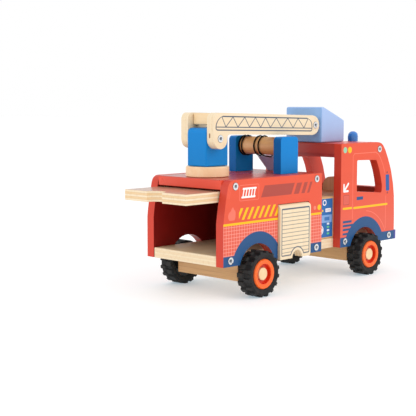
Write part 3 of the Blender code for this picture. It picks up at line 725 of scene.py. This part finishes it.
wear(hardwood("disc_wood", "x", colour("FBDDB4"), colour("EFC492"), gloom=0.12), "turntable_disc")
wear(hardwood("bar_wood", "y", colour("F3D8AE"), colour("E0BC88"), gloom=0.15), "boom_cross_bar")
wear(hardwood("axle_block_wood", "y", colour("DDB27C"), colour("AE7F4C"), turn=(0.5, 0.0, 0.35)),
     "front_axle_block", "rear_axle_block")
# the deck's dark browns are partly its own wood and partly painted shade inside the cab
wear(hardwood("deck_wood", "y", colour("B48A5C"), colour("8E6539")), "crew_deck")
wear(hardwood("seat_wood", "z", colour("DDB084"), colour("BC8C5C")), "driver_seat")
wear(hardwood("drum_wood", "y", colour("EABB80"), colour("C7935A"), rough=0.4), "hose_drum")

# the posts' rear faces take a darker blue, painted shade
wear(painted("post_blue", colour("0680CC"), "z", 0.4, 0.03, specular=0.14, rear=colour("0364AE")),
     "left_hose_post", "right_hose_post")
wear(painted("crane_blue", colour("0880CC"), "z", 0.4, 0.03, specular=0.14), "crane_block")
wear(painted("beacon_blue", colour("0672C8"), "z", 0.08, 1.0, specular=0.4),
     "left_roof_light", "right_roof_light")
wear(painted("bumper_paint", colour("4A4C97"), "y", 0.36), "front_bumper")
# the basket's rear face takes a darker blue, painted shade
basket_paint = painted("basket_paint", colour("A2BBE4"), "z", 0.42, vary=0.04,
                       rear=colour("86ACDC"))

for end in AXLES:
    wear(tyre_material(end), f"{end}_left_tyre", f"{end}_right_tyre")
    wear(rim_material(end), f"{end}_left_rim", f"{end}_right_rim")
    wear(axle_material(end), f"{end}_axle")
wear(steel(), "left_shutter_pin", "right_shutter_pin")
wear(cord_black(), "hose_winding", "hose_tail")
wear(nozzle_grey(), "hose_nozzle")


# ---------------------------------------------------------------- shapes in place of nodes
def prism(name, outline, low_y, high_y):
    """A closed solid from an (x, z) outline, between two places along y, in metres."""
    mesh = bpy.data.meshes.new(name)
    bm = bmesh.new()
    bm.faces.new([bm.verts.new((x, low_y, z)) for x, z in outline])
    grown = bmesh.ops.extrude_face_region(bm, geom=bm.faces[:])
    moved = [g for g in grown["geom"] if isinstance(g, bmesh.types.BMVert)]
    bmesh.ops.translate(bm, vec=(0, high_y - low_y, 0), verts=moved)
    bmesh.ops.recalc_face_normals(bm, faces=bm.faces)
    bm.to_mesh(mesh)
    bm.free()
    obj = bpy.data.objects.new(name, mesh)
    bpy.context.scene.collection.objects.link(obj)
    return obj


def body_prism(name, outline, half):
    """The same, in body millimetres and between y = +-half."""
    metres = [((x - MID_X) / 1000, z / 1000) for x, z in outline]
    return prism(name, metres, -half / 1000, half / 1000)


def round_edges(obj, width, segments, angle):
    """Rounds the edges sharper than an angle by a width in millimetres."""
    mod = obj.modifiers.new("round", "BEVEL")
    mod.width = width / 1000
    mod.segments = segments
    mod.limit_method = "ANGLE"
    mod.angle_limit = math.radians(angle)
    mod.harden_normals = False


def carve(obj, *cutters):
    """Cuts the cutters out of the object once it is settled."""
    for cutter in cutters:
        cut = obj.modifiers.new("carve", "BOOLEAN")
        cut.operation = "DIFFERENCE"
        cut.solver = "EXACT"
        cut.object = cutter


def settle(obj, material, sharp, *cutters):
    """Applies the modifiers, drops the cutters, and gives one material and smooth shading
    with sharp edges above an angle."""
    bpy.context.view_layer.update()
    made = bpy.data.meshes.new_from_object(obj.evaluated_get(bpy.context.evaluated_depsgraph_get()))
    obj.modifiers.clear()
    obj.data = made
    made.name = obj.name
    for cutter in cutters:
        bpy.data.objects.remove(cutter, do_unlink=True)
    made.shade_smooth()
    made.set_sharp_from_angle(angle=math.radians(sharp))
    made.materials.clear()
    made.materials.append(material)


# the basket: one glued and painted box with soft edges in place of its boards
WALL_X, WALL_Y, WALL_Z = 5, 5.5, 6       # walls and floor, millimetres
FLAT_TOP = 6.1                           # level part of the side's upper edge
FRONT_LIP = 1.0                          # how far the shell covers the front wall
OVERCUT = 9                              # how far the hollow runs out of the top
OUTER_ROUND, INNER_ROUND = 2.6, 0.7      # widths of the rounded edges
side_box = [tuple(1000 * c for c in corner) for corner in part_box("basket_left_side")]
(bx0, _, bz0), (bx1, by1, bz1) = side_box
bx0, bx1 = bx0 + MID_X, bx1 + MID_X
front_top = 1000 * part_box("basket_front_wall")[1][2] + FRONT_LIP
basket = body_prism("basket_shell", [(bx0, bz0), (bx1, bz0), (bx1, front_top),
                                     (bx0 + FLAT_TOP, bz1), (bx0, bz1)], by1)
round_edges(basket, OUTER_ROUND, 3, 25)
hollow = body_prism("basket_hollow", [(bx0 + WALL_X, bz0 + WALL_Z), (bx1 - WALL_X, bz0 + WALL_Z),
                                      (bx1 - WALL_X, bz1 + OVERCUT), (bx0 + WALL_X, bz1 + OVERCUT)],
                    by1 - WALL_Y)
carve(basket, hollow)
round_edges(basket, INNER_ROUND, 2, 50)
settle(basket, basket_paint, 50, hollow)
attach(basket, "basket")
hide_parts("basket_floor", "basket_left_side", "basket_right_side",
            "basket_rear_wall", "basket_front_wall")

# through bolts with a hexagon socket in each head, in metres
SOCKET_RADIUS, SOCKET_DEPTH, SOCKET_CLEAR = 0.0022, 0.0013, 0.002
for name in [n for n in NODES if n.endswith("_bolt")]:
    bolt = bpy.data.objects.new(f"{name}_socketed", bpy.data.objects[name].data.copy())
    bpy.context.scene.collection.objects.link(bolt)
    first, last = (Vector(corner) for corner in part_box(name))
    middle = (first + last) / 2
    corners = [math.radians(a) for a in range(15, 375, 60)]
    hexagon = [(middle.x + SOCKET_RADIUS * math.cos(a), middle.z + SOCKET_RADIUS * math.sin(a))
               for a in corners]
    cutters = [prism("socket", hexagon, last.y - SOCKET_DEPTH, last.y + SOCKET_CLEAR),
               prism("socket", hexagon, first.y - SOCKET_CLEAR, first.y + SOCKET_DEPTH)]
    carve(bolt, *cutters)
    settle(bolt, steel(f"{name}_finish", last.y * 1000), 35, *cutters)
    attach(bolt, {"boom_pivot_bolt": "turntable", "basket_pivot_bolt": "boom"}.get(name, "body"))
    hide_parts(name)

# ---------------------------------------------------------------- stage, light, camera
FLOOR_HALF = 12.0
FLOOR_COLOUR = (0.78, 0.69, 0.64, 1.0)
FLOOR_GLOW = (0.25, 0.33, 0.38, 1.0)
TOY_MIDDLE = (0.0, 0.0, 0.1)
EYE_PLACE = (-0.97951, -0.84154, 0.23195)
EYE_TURN = (83.923, 0.0, -45.842)
LENS, SENSOR = 85.64, 36.0               # millimetres
CLIP = (0.01, 50.0)


def area(name, place, size, power):
    """A round lamp that looks at the toy."""
    data = bpy.data.lights.new(name, "AREA")
    data.shape = "DISK"
    data.size = size
    data.energy = power
    obj = bpy.data.objects.new(name, data)
    obj.location = place
    obj.rotation_euler = (Vector(TOY_MIDDLE) - Vector(place)).to_track_quat("-Z", "Y").to_euler()
    bpy.context.scene.collection.objects.link(obj)


mesh = bpy.data.meshes.new("studio_floor")
bm = bmesh.new()
bmesh.ops.create_grid(bm, x_segments=1, y_segments=1, size=FLOOR_HALF)
bm.to_mesh(mesh)
bm.free()
floor = bpy.data.objects.new("studio_floor", mesh)
bpy.context.scene.collection.objects.link(floor)
floor_mat, floor_shader = begin("studio_floor", 0.6, specular=0.2)
floor_shader.inputs["Base Color"].default_value = FLOOR_COLOUR
floor_shader.inputs["Emission Color"].default_value = FLOOR_GLOW
floor_shader.inputs["Emission Strength"].default_value = 1.0
mesh.materials.append(floor_mat)

world = bpy.data.worlds.new("studio")
world.use_nodes = True
world.node_tree.nodes["Background"].inputs[0].default_value = (1.0, 1.0, 1.0, 1.0)
world.node_tree.nodes["Background"].inputs[1].default_value = 1.0
bpy.context.scene.world = world
area("key", (0.5, -1.7, 1.5), 1.6, 11.6)
area("fill", (-1.8, 0.8, 0.65), 0.8, 5.0)

camera = bpy.data.cameras.new("camera")
camera.lens = LENS
camera.sensor_width = SENSOR
camera.clip_start, camera.clip_end = CLIP
eye = bpy.data.objects.new("camera", camera)
eye.location = EYE_PLACE
eye.rotation_euler = [math.radians(a) for a in EYE_TURN]
bpy.context.scene.collection.objects.link(eye)
bpy.context.scene.camera = eye
bpy.context.scene.view_settings.view_transform = "Standard"
